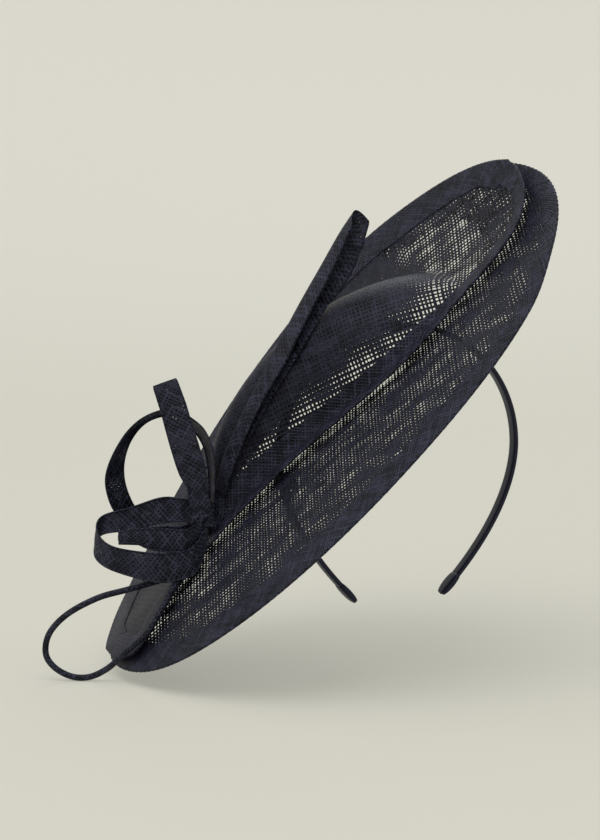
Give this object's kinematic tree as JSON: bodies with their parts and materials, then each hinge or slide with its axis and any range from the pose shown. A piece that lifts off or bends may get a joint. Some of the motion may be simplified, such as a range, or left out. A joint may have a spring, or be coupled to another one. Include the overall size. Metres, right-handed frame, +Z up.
{
  "type": "fascinator headpiece",
  "caption": "Tilted oval sinamay fascinator with a domed crown piece, folded quill and ribbon-like loops, on a sprung satin headband.",
  "frame": {"origin": "underside of the headband's crest, in the middle of the band's width, where it rests on the top of the head", "axes": "+X across the head towards the raised side of the disc, +Y to the side of the disc away from the quill, +Z up"},
  "size_m": [0.2507, 0.2023, 0.2517],
  "materials": {
    "sinamay": "open-weave straw cloth, navy, slight sheen",
    "sinamay_hem": "folded bias strip of the same cloth, three layers, nearly opaque",
    "satin": "navy satin ribbon, soft gloss",
    "petersham": "ribbed ribbon, matt",
    "spring_steel": "bare spring strip and millinery wire, hidden inside cloth"
  },
  "bodies": {
    "root": {"band_core_crest": "spring_steel", "band_sleeve_crest": "satin", "crown_brim": "sinamay", "crown_hem": "sinamay_hem", "crown_wire": "spring_steel", "inner_loop": "sinamay", "knot_wrap": "sinamay_hem", "lower_keeper": "petersham", "middle_loop": "sinamay", "quill_blade": "sinamay", "quill_wire": "spring_steel", "round_loop": "sinamay", "saucer_brim": "sinamay", "saucer_hem": "sinamay_hem", "saucer_wire": "spring_steel", "tail_strip": "sinamay", "upper_keeper": "petersham", "wire_loop_cover": "sinamay", "wire_loop_wire": "spring_steel"},
    "left_arm": {"band_core_left": "spring_steel", "band_sleeve_left": "satin", "band_tip_left": "satin"},
    "right_arm": {"band_core_right": "spring_steel", "band_sleeve_right": "satin", "band_tip_right": "satin"}
  },
  "joints": [
    {"name": "left_arm_flex", "type": "hinge", "parent": "root", "child": "left_arm", "pos_m": [-0.0624, 0, -0.08208], "axis": [0, 1, 0], "range_deg": [0, 12], "stiffness_Nm_per_rad": 0.6},
    {"name": "right_arm_flex", "type": "hinge", "parent": "root", "child": "right_arm", "pos_m": [0.02351, 0, -0.00287], "axis": [0, -1, 0], "range_deg": [0, 12], "stiffness_Nm_per_rad": 0.6}
  ]
}
